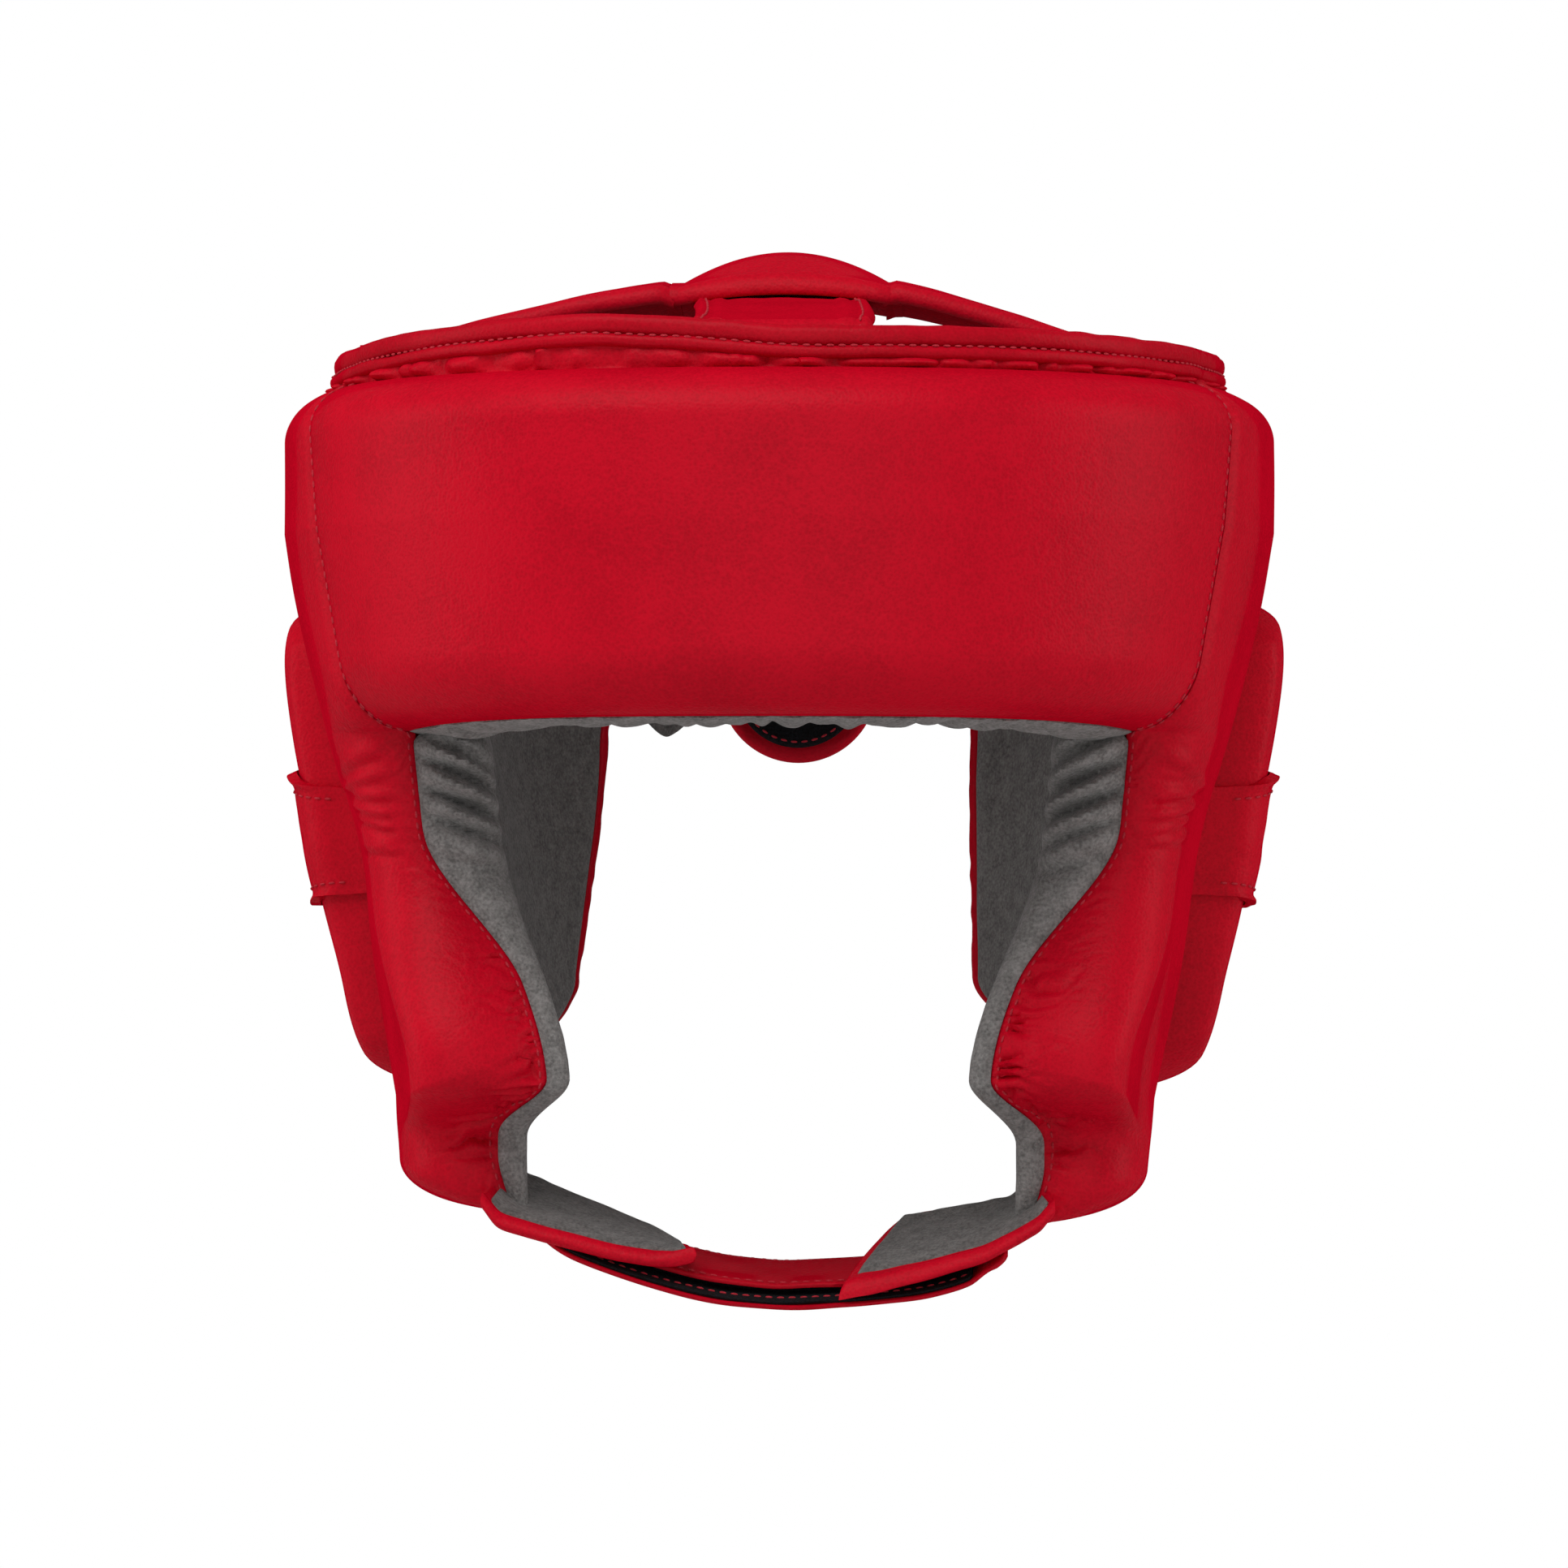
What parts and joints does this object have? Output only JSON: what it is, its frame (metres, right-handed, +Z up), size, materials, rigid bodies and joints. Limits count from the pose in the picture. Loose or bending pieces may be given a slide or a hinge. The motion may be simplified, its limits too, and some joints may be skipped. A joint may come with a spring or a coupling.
{
  "type": "boxing headgear",
  "caption": "Open-face padded boxing headgear in red leather with grey suede lining, threaded crown strap and hook-and-loop chin strap.",
  "frame": {"origin": "centre of the head cavity, midway between the temples, level with the eye corners", "axes": "-Y is the way the wearer faces, +Z is up, +X is to the wearer's left"},
  "size_m": [0.248, 0.2494, 0.2546],
  "materials": {
    "red_leather": "satin, fine grain",
    "grey_suede": "brushed suede",
    "foam_core": "closed-cell foam",
    "hook_tape": "matt hook and loop tape",
    "elastic_web": "gathered elastic cloth"
  },
  "bodies": {
    "shell": {"forehead_cover": "red_leather", "forehead_foam": "foam_core", "forehead_lining": "grey_suede", "side_cover_left": "red_leather", "side_cover_right": "red_leather", "temple_foam_left": "foam_core", "temple_foam_right": "foam_core", "cheek_foam_left": "foam_core", "cheek_foam_right": "foam_core", "side_lining_left": "grey_suede", "side_lining_right": "grey_suede", "rear_cover_left": "red_leather", "rear_cover_right": "red_leather", "rear_foam_left": "foam_core", "rear_foam_right": "foam_core", "rear_lining_left": "grey_suede", "rear_lining_right": "grey_suede", "rear_piping_left": "red_leather", "rear_piping_right": "red_leather", "back_panel": "elastic_web", "back_loop_patch": "hook_tape", "ear_pad_cover_left": "red_leather", "ear_pad_cover_right": "red_leather", "ear_pad_foam_left": "foam_core", "ear_pad_foam_right": "foam_core", "ear_band_left": "red_leather", "ear_band_right": "red_leather", "top_gather": "red_leather", "rim_lower_roll": "red_leather", "rim_upper_roll": "red_leather", "crown_flap_left": "red_leather", "crown_flap_right": "red_leather", "crown_guide": "red_leather", "crown_strap": "red_leather", "chin_flap_left": "red_leather", "chin_flap_right": "red_leather", "chin_flap_lining_left": "grey_suede", "chin_flap_lining_right": "grey_suede", "chin_loop_strap": "red_leather", "chin_loop_patch": "hook_tape"},
    "crown_tail": {"crown_tail": "red_leather", "crown_hook_patch": "hook_tape"},
    "chin_hook": {"chin_hook_strap": "red_leather", "chin_hook_patch": "hook_tape"}
  },
  "joints": [
    {"name": "crown_tail_peel", "type": "hinge", "parent": "shell", "child": "crown_tail", "pos_m": [0, 0.1109, 0.076], "axis": [1, 0, 0], "range_deg": [0, 95]},
    {"name": "chin_hook_peel", "type": "hinge", "parent": "shell", "child": "chin_hook", "pos_m": [0.04942, -0.05692, -0.11059], "axis": [0, -0.9986, -0.0523], "range_deg": [0, 110]}
  ]
}
